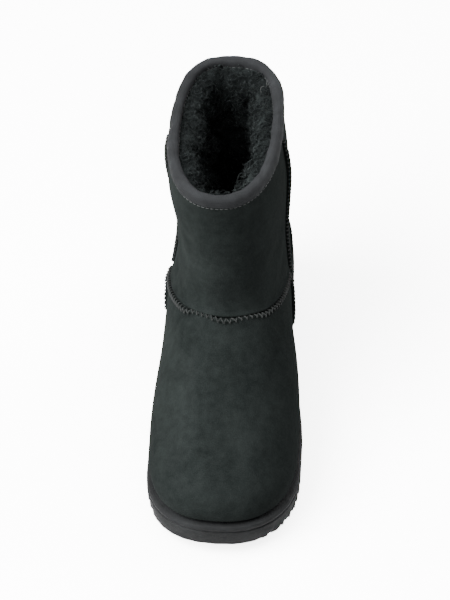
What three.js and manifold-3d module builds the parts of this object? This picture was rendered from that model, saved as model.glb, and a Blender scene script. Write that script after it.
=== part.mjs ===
// A short sheepskin boot for the right foot: millimetres, +Z up, toe towards -Y, inner side at +X.
import * as THREE from 'three';
import { mergeVertices } from 'three/addons/utils/BufferGeometryUtils.js';
import Module from 'manifold-3d';

const wasm = await Module();
wasm.setup();

// Overall sizes
const LENGTH = 236; // sole, heel end to toe end
const BALL_WIDTH = 94; // sole across the ball
const COLLAR_HEIGHT = 189; // top of the shaft's wall at the front
const COLLAR_RISE = 0.5; // how much higher the wall ends at the back
const COLLAR_WIDTH = 64.5; // wall of the shaft at the collar, side to side
const INSTEP_HEIGHT = 101; // seam over the instep

// Sole
const HEEL_HEIGHT = 24; // top of the sole at the heel
const BALL_THICKNESS = 16.5;
const TOE_THICKNESS = 17.5;
const TOE_SPRING = 8.5;
const ARCH_RISE = 2.5;
const HEEL_BEVEL = 2;
const LIP_HEIGHT = 4.2; // rounded band above the step line
const LIP_ROUND = 2.4;
const STEP_DEPTH = 0.9;
const STEP_SLOPE = 0.8; // height of each flank of the step line
const TREAD_CHAMFER = 1.6;
const GROOVE_DEPTH = 3;
const GROOVE_WIDTH = 2.4;
const GROOVE_FLARE = 2.2; // extra width where a groove meets the side
const GROOVE_PITCH = 9;
const GROOVE_WAVE = 1.8;
const GROOVE_WAVE_LENGTH = 24;

// Upper and what is sewn to it
const WALL = 4.5; // hide with the felted base of its fleece
const LEDGE = 3.2; // sole outside the upper at the feather line
const PLUMP = 2.2; // how far the upper swells out over the feather line
const BINDING_HEIGHT = 5; // legs of the tape, below the top of the wall
const BINDING_THICKNESS = 0.9;
const CREST_DROP = 0.35; // centre of the tape's round below the wall's top, as a share of its radius
const COUNTER_THICKNESS = 1.5;
const SEAM_WIDTH = 3.6;
const SEAM_HEIGHT = 1.5;
const INSOLE_THICKNESS = 6;
const INSOLE_ROUND = 1.5;
const GAP = 0.3; // between pieces that meet

// Rounding of the outlines: share of the length that is rounded off, and how square the round is
const HEEL_END = { share: 0.17, power: 2.15 };
const TOE_END = { share: 0.22, power: 2.45 };
const SHAFT_POWER = { front: 2.3, back: 2.8 };
const DOME = { base: 2.3, power: 2.1 };
const INSTEP_SLOPE = 0.5; // of the foot's top line where it runs on inside the shaft

// Fineness
const SIDE_STEPS = 22; // from front to back on each side
const SOLE_STEPS = 28;
const RINGS_PER_SECTION = 2;

// Outline of the sole: half width and middle as shares of the ball width. swell is the share of the
// plumpness with which the upper stands out over its feather line.
const PLAN = [
  { at: 0.0, half: 0.362, middle: -0.032, swell: 1 },
  { at: 0.16, half: 0.367, middle: -0.037, swell: 1.1 },
  { at: 0.38, half: 0.41, middle: -0.052, swell: 2 },
  { at: 0.52, half: 0.458, middle: -0.024, swell: 1.4 },
  { at: 0.68, half: 0.502, middle: -0.018, swell: 0.8 },
  { at: 0.8, half: 0.497, middle: -0.008, swell: 0.9 },
  { at: 1.0, half: 0.475, middle: -0.014, swell: 1 },
];

// Stretches of the tread with grooves. Those under the forefoot follow the line of the toe joints.
const TREAD_FIELDS = [
  { from: 0.07, to: 0.28, slant: 0 },
  { from: 0.61, to: 0.93, slant: 0.3 },
];

// Height of the tread and of the sole's top along the length
const SOLE_LINE = [
  { at: 0.0, tread: HEEL_BEVEL, top: HEEL_HEIGHT },
  { at: 0.05, tread: 0, top: HEEL_HEIGHT },
  { at: 0.3, tread: 0, top: HEEL_HEIGHT * 0.98 },
  { at: 0.43, tread: ARCH_RISE, top: (HEEL_HEIGHT + BALL_THICKNESS) * 0.51 },
  { at: 0.57, tread: 0, top: BALL_THICKNESS * 1.035 },
  { at: 0.72, tread: 0, top: BALL_THICKNESS },
  { at: 0.86, tread: TOE_SPRING * 0.34, top: TOE_THICKNESS + TOE_SPRING * 0.4 },
  { at: 1.0, tread: TOE_SPRING, top: TOE_THICKNESS + TOE_SPRING },
];

// Side of the sole from the tread up: share 0 starts at the tread, share 1 at the top
const SOLE_SIDE = [
  { share: 0, up: 0, inset: TREAD_CHAMFER },
  { share: 0, up: TREAD_CHAMFER, inset: TREAD_CHAMFER * 0.2 },
  { share: 1, up: -LIP_HEIGHT - STEP_SLOPE, inset: 0 },
  { share: 1, up: -LIP_HEIGHT, inset: STEP_DEPTH },
  { share: 1, up: -LIP_HEIGHT + STEP_SLOPE, inset: STEP_DEPTH * 0.3 },
  { share: 1, up: -LIP_ROUND * 0.7, inset: LIP_ROUND * 0.08 },
  { share: 1, up: -LIP_ROUND * 0.2, inset: LIP_ROUND * 0.4 },
  { share: 1, up: 0, inset: LIP_ROUND },
];

// Sections through the upper, from the feather line to the collar. Each is a straight line in side
// view. front and back are shares of the foot's length from the heel end. rise counts the levels
// feather 0, instep seam 1, binding 2 and collar 3, backRise feather 0, binding 1 and collar 2.
// width and middle belong to the shaft, as shares of the collar width, and shaft says how far the
// section has changed from foot to shaft.
const SECTIONS = [
  { front: 1.0, rise: 0.0, back: 0.0, backRise: 0.0, width: 1.28, middle: -0.05, shaft: 0 },
  { front: 1.003, rise: 0.108, back: -0.004, backRise: 0.012, width: 1.28, middle: -0.05, shaft: 0 },
  { front: 0.988, rise: 0.22, back: -0.007, backRise: 0.024, width: 1.28, middle: -0.05, shaft: 0 },
  { front: 0.949, rise: 0.33, back: -0.009, backRise: 0.036, width: 1.28, middle: -0.05, shaft: 0 },
  { front: 0.883, rise: 0.44, back: -0.01, backRise: 0.049, width: 1.28, middle: -0.05, shaft: 0 },
  { front: 0.805, rise: 0.55, back: -0.011, backRise: 0.063, width: 1.28, middle: -0.05, shaft: 0 },
  { front: 0.718, rise: 0.68, back: -0.012, backRise: 0.077, width: 1.3, middle: -0.06, shaft: 0.06 },
  { front: 0.642, rise: 0.845, back: -0.012, backRise: 0.092, width: 1.25, middle: -0.085, shaft: 0.2 },
  { front: 0.587, rise: 1.0, back: -0.012, backRise: 0.107, width: 1.17, middle: -0.08, shaft: 0.4 },
  { front: 0.559, rise: 1.17, back: -0.008, backRise: 0.21, width: 1.07, middle: -0.057, shaft: 0.65 },
  { front: 0.545, rise: 1.39, back: 0.004, backRise: 0.38, width: 1.0, middle: -0.05, shaft: 0.9 },
  { front: 0.539, rise: 1.6, back: 0.011, backRise: 0.57, width: 1.03, middle: -0.06, shaft: 1 },
  { front: 0.534, rise: 1.82, back: 0.011, backRise: 0.79, width: 1.09, middle: -0.086, shaft: 1 },
  { front: 0.53, rise: 2.0, back: 0.008, backRise: 1.0, width: 1.02, middle: -0.099, shaft: 1 },
  { front: 0.529, rise: 3.0, back: 0.008, backRise: 2.0, width: 1.0, middle: -0.099, shaft: 1 },
];
const GIRTH = 1; // the longest section of the foot
const SWELL_SECTION = 2; // where the foot has swelled out in full
const INSTEP = 8; // the section along the instep seam
const BINDING = 13;
const COLLAR = 14;
const FEATHER_FADE = 7; // sections over which the sole's line straightens out

// Lengthwise places on the foot, as shares of the sole's length
const SIDE_SEAM_TOP = 0.278;
const SIDE_SEAM_FOOT = 0.302;
const VAMP_CORNER = 0.31;
const VAMP_SEAM_FOOT = 0.325;
const VAMP_TURN = { at: 0.55, spread: 0.12 }; // where the vamp's edge turns down, as a share of its run
const SEAM_FOOT_SECTION = 0.45; // section where the vamp's edge ends above the sole
const COUNTER_LOW = 0.3; // sections that the counter's edges reach: sole, back and front corner
const COUNTER_TOP = 9.5;
const COUNTER_CORNER = INSTEP - 0.35;
const COUNTER_SPACE = 1.2; // between the counter and the vamp seam, millimetres
const COUNTER_RIM = 0.6; // thickness of the counter's edge, as a share
const ROOT = 0.5; // depth to which an overlay starts out below the surface, before it is cut free

const lerp = THREE.MathUtils.lerp;
const clamp = THREE.MathUtils.clamp;
const smooth = (x) => THREE.MathUtils.smoothstep(x, 0, 1);

// Smooth curve through the rows of a table, without overshoot between them
function columnCurve(rows, column, at) {
  const xs = rows.map((row, i) => (at ? row[at] : i));
  const ys = rows.map((row) => row[column]);
  const rate = xs.slice(1).map((x, i) => (ys[i + 1] - ys[i]) / (x - xs[i]));
  const slope = xs.map((_, i) => {
    const before = rate[Math.max(i - 1, 0)];
    const after = rate[Math.min(i, rate.length - 1)];
    return before * after <= 0 ? 0 : (2 * before * after) / (before + after);
  });
  return (x) => {
    const inside = clamp(x, xs[0], xs[xs.length - 1]);
    let i = 0;
    while (i < rate.length - 1 && inside > xs[i + 1]) i += 1;
    const width = xs[i + 1] - xs[i];
    const t = (inside - xs[i]) / width;
    const hermite = (2 * t ** 3 - 3 * t ** 2 + 1) * ys[i] + (3 * t ** 2 - 2 * t ** 3) * ys[i + 1];
    return hermite + width * ((t ** 3 - 2 * t ** 2 + t) * slope[i] + (t ** 3 - t ** 2) * slope[i + 1]);
  };
}

const planHalf = columnCurve(PLAN, 'half', 'at');
const planMiddle = columnCurve(PLAN, 'middle', 'at');
const planSwell = columnCurve(PLAN, 'swell', 'at');
const treadShare = columnCurve(SOLE_LINE, 'tread', 'at');
const topShare = columnCurve(SOLE_LINE, 'top', 'at');
const treadHeight = (run) => treadShare(run / LENGTH);
const soleTop = (run) => topShare(run / LENGTH);

// How far an outline has closed in towards its heel and toe ends, 1 where it is at full width
function endRound(t) {
  const heel = clamp(1 - t / HEEL_END.share, 0, 1);
  const toe = clamp(1 - (1 - t) / TOE_END.share, 0, 1);
  return (1 - heel ** HEEL_END.power) ** (1 / HEEL_END.power)
    * (1 - toe ** TOE_END.power) ** (1 / TOE_END.power);
}

// Point of the sole's outline: t from heel 0 to toe 1, side -1 outer or +1 inner
function outlinePoint(t, side, inset, height) {
  const run = lerp(inset, LENGTH - inset, t);
  const half = (planHalf(t) * BALL_WIDTH - inset) * endRound(t);
  return new THREE.Vector3(planMiddle(t) * BALL_WIDTH + side * half, LENGTH / 2 - run, height(run));
}

// Closed loop from heel over the outer side to toe and back along the inner side
function outlineLoop(steps, inset, height) {
  return Array.from({ length: 2 * steps }, (_, i) => {
    const t = (1 - Math.cos((Math.PI * i) / steps)) / 2;
    return outlinePoint(t, i <= steps ? -1 : 1, inset, height);
  });
}

// The upper's own surface
const FOOT_LENGTH = LENGTH - 2 * LEDGE;
const FRONT_LEVELS = [
  soleTop(LENGTH - LEDGE) + GAP, INSTEP_HEIGHT, COLLAR_HEIGHT - BINDING_HEIGHT, COLLAR_HEIGHT,
];
const BACK_LEVELS = [
  HEEL_HEIGHT + GAP, COLLAR_HEIGHT + COLLAR_RISE - BINDING_HEIGHT, COLLAR_HEIGHT + COLLAR_RISE,
];
const sectionCurve = Object.fromEntries(
  Object.keys(SECTIONS[0]).map((column) => [column, columnCurve(SECTIONS, column)]),
);

function levelHeight(levels, rise) {
  const i = Math.min(Math.floor(rise), levels.length - 2);
  return lerp(levels[i], levels[i + 1], rise - i);
}

function frontPoint(u) {
  return {
    run: LEDGE + FOOT_LENGTH * sectionCurve.front(u),
    z: levelHeight(FRONT_LEVELS, sectionCurve.rise(u)),
  };
}

function backPoint(u) {
  return {
    run: LEDGE + FOOT_LENGTH * sectionCurve.back(u),
    z: levelHeight(BACK_LEVELS, sectionCurve.backRise(u)),
  };
}

// Height of section u where it passes run, following the sole's line near the feather
function sectionHeight(u, run) {
  const front = frontPoint(u);
  const back = backPoint(u);
  const straight = (line) => lerp(line.back.z, line.front.z, (run - line.back.run)
    / (line.front.run - line.back.run));
  const base = { front: frontPoint(0), back: backPoint(0) };
  const fade = clamp(1 - u / FEATHER_FADE, 0, 1) ** 2;
  return straight({ front, back }) + fade * (soleTop(run) + GAP - straight(base));
}

// Top line of the foot over run, as section u meets it
const topLineRows = SECTIONS.slice(GIRTH, INSTEP + 1).map((_, i) => frontPoint(i + GIRTH)).reverse();
const topLine = columnCurve(topLineRows, 'z', 'run');
function footTop(u, run) {
  const reach = frontPoint(Math.max(u, INSTEP));
  return run < reach.run ? reach.z + INSTEP_SLOPE * (reach.run - run) : topLine(run);
}

function footHalf(u, run, z) {
  const toe = frontPoint(Math.min(u, GIRTH)).run;
  const heel = backPoint(u).run;
  const t = clamp((run - heel) / (toe - heel), 0, 1);
  const rise = clamp(u / SWELL_SECTION, 0, 1);
  const inset = LEDGE - PLUMP * planSwell(t) * Math.sin((rise * Math.PI) / 2);
  const wide = (planHalf(t) * BALL_WIDTH - inset) * endRound(t);
  if (u <= GIRTH) return wide;
  const girth = sectionHeight(GIRTH, run);
  const share = clamp((z - girth) / (footTop(u, run) - girth), 0, 1);
  return wide * (1 - share ** DOME.base) ** (1 / DOME.power);
}

// Point on the upper: section u, angle 0 at the front, outer side first, pi at the back
function skin(u, angle) {
  const share = (1 - Math.cos(angle)) / 2;
  const side = Math.sin(angle) >= 0 ? -1 : 1;
  const run = lerp(frontPoint(u).run, backPoint(u).run, share);
  const z = sectionHeight(u, run);
  const shaft = sectionCurve.shaft(u);
  const power = share < 0.5 ? SHAFT_POWER.front : SHAFT_POWER.back;
  const round = (1 - Math.abs(2 * share - 1) ** power) ** (1 / power);
  const shaftHalf = (sectionCurve.width(u) * COLLAR_WIDTH * round) / 2;
  const half = lerp(footHalf(u, run, z), shaftHalf, shaft);
  const middle = lerp(planMiddle(run / LENGTH) * BALL_WIDTH, sectionCurve.middle(u) * COLLAR_WIDTH, shaft);
  return new THREE.Vector3(middle + side * half, LENGTH / 2 - run, z);
}

// Outward direction of the upper's surface; level at its two open edges
function skinNormal(u, angle) {
  const du = 0.05;
  const da = 0.03;
  const along = skin(Math.min(u + du, COLLAR), angle).sub(skin(Math.max(u - du, 0), angle));
  const around = skin(u, angle + da).sub(skin(u, angle - da));
  const normal = along.cross(around);
  if (u <= 0 || u >= COLLAR) normal.z = 0;
  return normal.normalize();
}

const offsetSkin = (u, angle, offset) => skin(u, angle).addScaledVector(skinNormal(u, angle), offset);

// Angle at which section u passes run on one side
function angleAt(u, run, side) {
  const front = frontPoint(u).run;
  const share = clamp((run - front) / (backPoint(u).run - front), 0, 1);
  const angle = Math.acos(1 - 2 * share);
  return side < 0 ? angle : 2 * Math.PI - angle;
}

const ringAngles = Array.from({ length: 2 * SIDE_STEPS }, (_, i) => (Math.PI * i) / SIDE_STEPS);
const ringLoop = (u, offset) => ringAngles.map((angle) => offsetSkin(u, angle, offset));
const ringSections = Array.from(
  { length: COLLAR * RINGS_PER_SECTION + 1 },
  (_, i) => i / RINGS_PER_SECTION,
);

// Triangles across a loop, joining point i to the point facing it over the hinge
function loopCap(base, count, hinge) {
  const faces = [];
  const rungs = Math.ceil((hinge === 0 ? count : count - 1) / 2);
  for (let i = 0; i < rungs; i += 1) {
    const facing = (hinge - i + count) % count;
    const next = (hinge - i - 1 + count) % count;
    for (const face of [[i, i + 1, next], [i, next, facing]]) {
      if (new Set(face).size === 3) faces.push(face.map((k) => base + k));
    }
  }
  return faces;
}

// Closed body over a row of equal loops: ends joined to each other, or capped over the hinge
function loft(loops, { ring = false, hinge = 0 } = {}) {
  const count = loops[0].length;
  const faces = [];
  const spans = ring ? loops.length : loops.length - 1;
  for (let j = 0; j < spans; j += 1) {
    const low = j * count;
    const high = ((j + 1) % loops.length) * count;
    for (let i = 0; i < count; i += 1) {
      const next = (i + 1) % count;
      faces.push([low + i, low + next, high + next], [low + i, high + next, high + i]);
    }
  }
  if (!ring) {
    faces.push(...loopCap(0, count, hinge).map(([a, b, c]) => [a, c, b]));
    faces.push(...loopCap((loops.length - 1) * count, count, hinge));
  }
  const points = loops.flat();
  const volume = faces.reduce((sum, [a, b, c]) => (
    sum + points[a].dot(points[b].clone().cross(points[c]))), 0);
  const outward = volume < 0 ? faces.map(([a, b, c]) => [a, c, b]) : faces;
  const geometry = new THREE.BufferGeometry().setFromPoints(points);
  geometry.setIndex(outward.flat());
  return geometry;
}

function toSolid(geometry) {
  const merged = mergeVertices(geometry, 1e-4);
  return new wasm.Manifold(new wasm.Mesh({
    numProp: 3,
    vertProperties: merged.attributes.position.array,
    triVerts: new Uint32Array(merged.index.array),
  }));
}

function toGeometry(solid) {
  const mesh = solid.getMesh();
  const geometry = new THREE.BufferGeometry();
  geometry.setAttribute('position', new THREE.BufferAttribute(mesh.vertProperties, 3));
  geometry.setIndex(new THREE.BufferAttribute(mesh.triVerts, 1));
  return geometry;
}

const largestBody = (solid) => solid.decompose().sort((a, b) => b.volume() - a.volume())[0];

// Wavy groove across the tread, open at both sides of the sole
function grooveSolid(run, slant) {
  const turns = Math.ceil((BALL_WIDTH * 1.1) / GROOVE_WAVE_LENGTH);
  const reach = (turns * GROOVE_WAVE_LENGTH) / 2;
  const sections = Array.from({ length: 2 * turns + 1 }, (_, i) => {
    const x = lerp(-reach, reach, i / (2 * turns));
    const middle = run + slant * x + (i % 2 ? GROOVE_WAVE : -GROOVE_WAVE);
    const half = (GROOVE_WIDTH + GROOVE_FLARE * (x / reach) ** 6) / 2;
    const ceiling = treadHeight(clamp(middle, 0, LENGTH)) + GROOVE_DEPTH;
    const corner = (offset, z) => new THREE.Vector3(x, LENGTH / 2 - middle - offset, z);
    const floor = -GROOVE_DEPTH;
    return [corner(-half, floor), corner(half, floor), corner(half, ceiling), corner(-half, ceiling)];
  });
  return toSolid(loft(sections, { hinge: 3 }));
}

// Moulded sole: tread, arch, toe spring, stepped side with a rounded lip
function soleGeometry() {
  const loops = SOLE_SIDE.map(({ share, up, inset }) => outlineLoop(
    SOLE_STEPS, inset, (run) => lerp(treadHeight(run), soleTop(run), share) + up));
  let sole = toSolid(loft(loops));
  for (const { from, to, slant } of TREAD_FIELDS) {
    for (let run = LENGTH * from; run < LENGTH * to; run += GROOVE_PITCH) {
      sole = sole.subtract(grooveSolid(run, slant));
    }
  }
  return toGeometry(sole);
}

// Hollow upper with an even wall
function upperGeometry() {
  const outside = ringSections.map((u) => ringLoop(u, 0));
  const inside = ringSections.map((u) => ringLoop(u, -WALL)).reverse();
  return loft([...outside, ...inside], { ring: true });
}

// Footbed on the sole, inside the wall of the upper
function insoleGeometry() {
  const layer = (up, draw) => ringLoop(0, -(WALL + 2 * GAP + draw)).map(
    (point) => point.setZ(point.z + up));
  return loft([
    layer(0, 0), layer(INSOLE_THICKNESS - INSOLE_ROUND, 0), layer(INSOLE_THICKNESS, INSOLE_ROUND),
  ]);
}

// Everything closer to the upper than the gap, to cut overlays free of it
const clearance = toSolid(loft(ringSections.map((u) => ringLoop(u, GAP))));

// Raised overlocked seam along a path of { u, angle } on the upper
function seamGeometry(path) {
  const PROFILE = [
    { across: -0.5, up: 0 }, { across: -0.42, up: 0.65 }, { across: 0, up: 1 },
    { across: 0.42, up: 0.65 }, { across: 0.5, up: 0 },
  ];
  const points = path.map(({ u, angle }) => skin(u, angle));
  const sections = path.map(({ u, angle }, i) => {
    const normal = skinNormal(u, angle);
    const ahead = points[Math.min(i + 1, points.length - 1)].clone().sub(points[Math.max(i - 1, 0)]);
    const side = ahead.cross(normal).normalize();
    return PROFILE.map(({ across, up }) => points[i].clone()
      .addScaledVector(side, across * SEAM_WIDTH)
      .addScaledVector(normal, up > 0 ? GAP + up * SEAM_HEIGHT : -ROOT));
  });
  return toGeometry(largestBody(toSolid(loft(sections, { hinge: 4 })).subtract(clearance)));
}

// Section u and run along the vamp's edge: t 0 at the instep, 1 at the feather line
function vampEdge(t) {
  const { at, spread } = VAMP_TURN;
  const corner = clamp(t / at, 0, 1);
  const fall = clamp((t - at) / (1 - at), 0, 1);
  const bend = smooth((t - at + spread) / (2 * spread));
  const forward = lerp(frontPoint(INSTEP).run, LENGTH * VAMP_CORNER, corner);
  const run = lerp(forward, LENGTH * VAMP_SEAM_FOOT, fall);
  return { u: lerp(INSTEP, lerp(INSTEP, SEAM_FOOT_SECTION, fall), bend), run };
}

function vampSeamPath() {
  const steps = 26;
  const half = Array.from({ length: steps + 1 }, (_, i) => vampEdge(i / steps));
  const outer = half.map(({ u, run }) => ({ u, angle: angleAt(u, run, -1) })).reverse();
  const inner = half.slice(1).map(({ u, run }) => ({ u, angle: angleAt(u, run, 1) }));
  return [...outer, ...inner];
}

function sideSeamPath(side) {
  const steps = 14;
  return Array.from({ length: steps + 1 }, (_, i) => {
    const t = i / steps;
    const u = lerp(INSTEP + 0.35, BINDING - 0.1, t);
    const run = LENGTH * lerp(SIDE_SEAM_FOOT, SIDE_SEAM_TOP, t);
    return { u, angle: angleAt(u, run, side) };
  });
}

// Suede overlay round the heel, behind the vamp seam
function counterGeometry() {
  const COLUMNS = 20;
  const ROWS = 4;
  const clear = SEAM_WIDTH / 2 + COUNTER_SPACE;
  const sections = Array.from({ length: COLUMNS + 1 }, (_, c) => {
    const across = (2 * c) / COLUMNS - 1;
    const side = across < 0 ? -1 : 1;
    const top = lerp(COUNTER_TOP, COUNTER_CORNER, Math.abs(across) ** 2.5);
    const column = (offset) => Array.from({ length: ROWS + 1 }, (_unused, r) => {
      const u = lerp(COUNTER_LOW, top, r / ROWS);
      const edge = LENGTH * lerp(VAMP_SEAM_FOOT, VAMP_CORNER, r / ROWS) - clear;
      const front = angleAt(u, edge, -1);
      const angle = lerp(front, Math.PI, 1 - Math.abs(across));
      const rim = r === 0 || r === ROWS || c === 0 || c === COLUMNS ? COUNTER_RIM : 1;
      return offsetSkin(u, side < 0 ? angle : 2 * Math.PI - angle, offset > 0 ? offset * rim : offset);
    });
    return [...column(GAP + COUNTER_THICKNESS), ...column(-ROOT).reverse()];
  });
  const count = sections[0].length;
  return toGeometry(largestBody(toSolid(loft(sections, { hinge: count - 1 })).subtract(clearance)));
}

// Tape folded over the top edge of the wall, rounded on top
function bindingGeometry() {
  const ARC = [15, 50, 90, 130, 165];
  const low = BINDING + 0.03;
  const radius = WALL / 2 + GAP + BINDING_THICKNESS;
  const loop = (u, offset, up = 0) => ringLoop(u, offset).map((point) => point.setZ(point.z + up));
  const crest = ARC.map(THREE.MathUtils.degToRad).map((turn) => loop(
    COLLAR, radius * Math.cos(turn) - WALL / 2, radius * (Math.sin(turn) - CREST_DROP)));
  return loft([
    loop(low, GAP), loop(low, GAP + BINDING_THICKNESS), ...crest,
    loop(low, -WALL - GAP - BINDING_THICKNESS), loop(low, -WALL - GAP),
    loop(COLLAR, -WALL - GAP, GAP), loop(COLLAR, GAP, GAP),
  ], { ring: true });
}

const suede = { color: '#262b29', roughness: 0.95, metalness: 0 };
const tape = { color: '#35383b', roughness: 0.85, metalness: 0 };
const thread = { color: '#2b2e2d', roughness: 0.9, metalness: 0 };
const rubber = { color: '#3b3d41', roughness: 0.7, metalness: 0 };
const fleece = { color: '#1f2526', roughness: 1, metalness: 0 };

const boot = new THREE.Group();

function addPiece(name, geometry, finish) {
  const flat = geometry.toNonIndexed();
  flat.computeVertexNormals();
  const piece = new THREE.Mesh(flat, new THREE.MeshStandardMaterial(finish));
  piece.name = name;
  boot.add(piece);
}

addPiece('sole', soleGeometry(), rubber);
addPiece('insole', insoleGeometry(), fleece);
addPiece('upper', upperGeometry(), suede);
addPiece('heel_counter', counterGeometry(), suede);
addPiece('vamp_seam', seamGeometry(vampSeamPath()), thread);
addPiece('side_seam_lateral', seamGeometry(sideSeamPath(-1)), thread);
addPiece('side_seam_medial', seamGeometry(sideSeamPath(1)), thread);
addPiece('collar_binding', bindingGeometry(), tape);

// Origin at the middle of the boot's box, on the floor
const box = new THREE.Box3().setFromObject(boot);
boot.position.set(-(box.min.x + box.max.x) / 2, -(box.min.y + box.max.y) / 2, -box.min.z);

export default boot;
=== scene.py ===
"""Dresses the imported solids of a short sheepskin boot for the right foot: suede, fleece, tape, thread and foam."""

import logging
import math
from contextlib import contextmanager
from dataclasses import dataclass
from enum import Enum
from typing import Callable, Iterable, Iterator, Optional

import bpy
import numpy as np
from mathutils import Matrix, Vector
from mathutils.bvhtree import BVHTree


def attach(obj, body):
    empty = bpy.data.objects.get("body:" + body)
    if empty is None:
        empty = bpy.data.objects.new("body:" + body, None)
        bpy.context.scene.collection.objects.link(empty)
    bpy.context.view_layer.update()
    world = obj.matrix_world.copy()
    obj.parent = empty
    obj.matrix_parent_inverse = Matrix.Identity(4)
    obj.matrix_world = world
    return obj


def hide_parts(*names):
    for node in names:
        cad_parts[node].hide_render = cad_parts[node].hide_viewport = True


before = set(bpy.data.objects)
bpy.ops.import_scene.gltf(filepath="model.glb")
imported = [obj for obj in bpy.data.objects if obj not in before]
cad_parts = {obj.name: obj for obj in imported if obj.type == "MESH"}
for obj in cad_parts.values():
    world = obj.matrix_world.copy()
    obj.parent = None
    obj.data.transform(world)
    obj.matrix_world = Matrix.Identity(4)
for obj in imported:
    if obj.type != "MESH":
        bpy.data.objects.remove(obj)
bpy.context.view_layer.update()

MM = 0.001
BODY = "root"
FULL_TURN = 2 * math.pi
FAR = 150.0  # where rays at the boot start, in millimetres
COLLAR_X, COLLAR_Y = -4.9, 52.4  # middle of the collar, in millimetres
LOG = logging.getLogger("boot")

Object = bpy.types.Object
Material = bpy.types.Material
Socket = bpy.types.NodeSocket
Points = list[tuple[float, float, float]]
Colour = tuple[float, float, float]

# Lines on the hide in millimetres, in the frame of the solids
VAMP_LINE: Points = [
    (-38.6, 40.6, 25.5), (-41.2, 41.2, 31.0), (-41.2, 41.8, 36.8), (-40.9, 42.4, 43.3), (-40.6, 43.0, 51.4),
    (-40.4, 43.6, 64.0), (-39.6, 42.8, 73.5), (-39.6, 33.7, 77.4), (-38.8, 24.7, 81.4), (-37.0, 15.6, 85.3),
    (-34.1, 6.5, 89.2), (-29.9, -2.5, 93.1), (-23.4, -11.6, 97.1), (-1.8, -20.7, 101.0), (19.6, -11.6, 97.1),
    (25.8, -2.5, 93.1), (29.1, 6.5, 89.2), (30.8, 15.6, 85.3), (31.8, 24.7, 81.4), (32.5, 33.7, 77.4),
    (32.7, 42.8, 73.5), (33.7, 43.6, 64.0), (34.2, 43.0, 51.4), (34.5, 42.4, 43.3), (34.7, 41.8, 36.8),
    (34.7, 41.2, 31.0), (32.1, 40.6, 25.5),
]
OUTER_LINE: Points = [
    (-38.7, 46.1, 76.9), (-36.6, 46.9, 88.3), (-34.5, 47.7, 102.3), (-34.2, 48.5, 117.2), (-35.5, 49.3, 132.4),
    (-38.0, 50.1, 149.6), (-39.2, 50.9, 165.5), (-38.0, 51.7, 180.5),
]
INNER_LINE: Points = [
    (32.3, 46.1, 76.9), (31.5, 46.9, 88.3), (30.4, 47.7, 102.3), (30.3, 48.5, 117.2), (30.8, 49.3, 132.4),
    (31.1, 50.1, 149.6), (30.4, 50.9, 165.5), (28.1, 51.7, 180.5),
]
SEWING_LINES = {"vamp_seam": VAMP_LINE, "side_seam_lateral": OUTER_LINE, "side_seam_medial": INNER_LINE}


class Slot(Enum):
    """Material slots of the record."""

    SUEDE = "suede"
    FOAM = "sole_foam"
    TAPE = "binding_tape"
    THREAD = "seam_thread"
    FLEECE = "fleece"


# ---------------------------------------------------------------- tools


def ramp(value: np.ndarray, start: float, end: float) -> np.ndarray:
    """Share that grows from 0 at the start to 1 at the end and is held beyond both."""
    return np.clip((value - start) / (end - start), 0, 1)


def bell(value: np.ndarray, middle: float, width: float) -> np.ndarray:
    """Smooth bump of height 1."""
    return np.exp(-((value - middle) / width) ** 2)


def column(source: bpy.types.bpy_prop_collection, key: str, width: int = 3) -> np.ndarray:
    """Reads one attribute of a mesh's parts, one row each."""
    out = np.empty(len(source) * width)
    source.foreach_get(key, out)
    return out.reshape(-1, width)


def add_object(name: str, data: bpy.types.ID) -> Object:
    """Puts new data into the scene as an object."""
    made = bpy.data.objects.new(name, data)
    bpy.context.scene.collection.objects.link(made)
    return made


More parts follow.
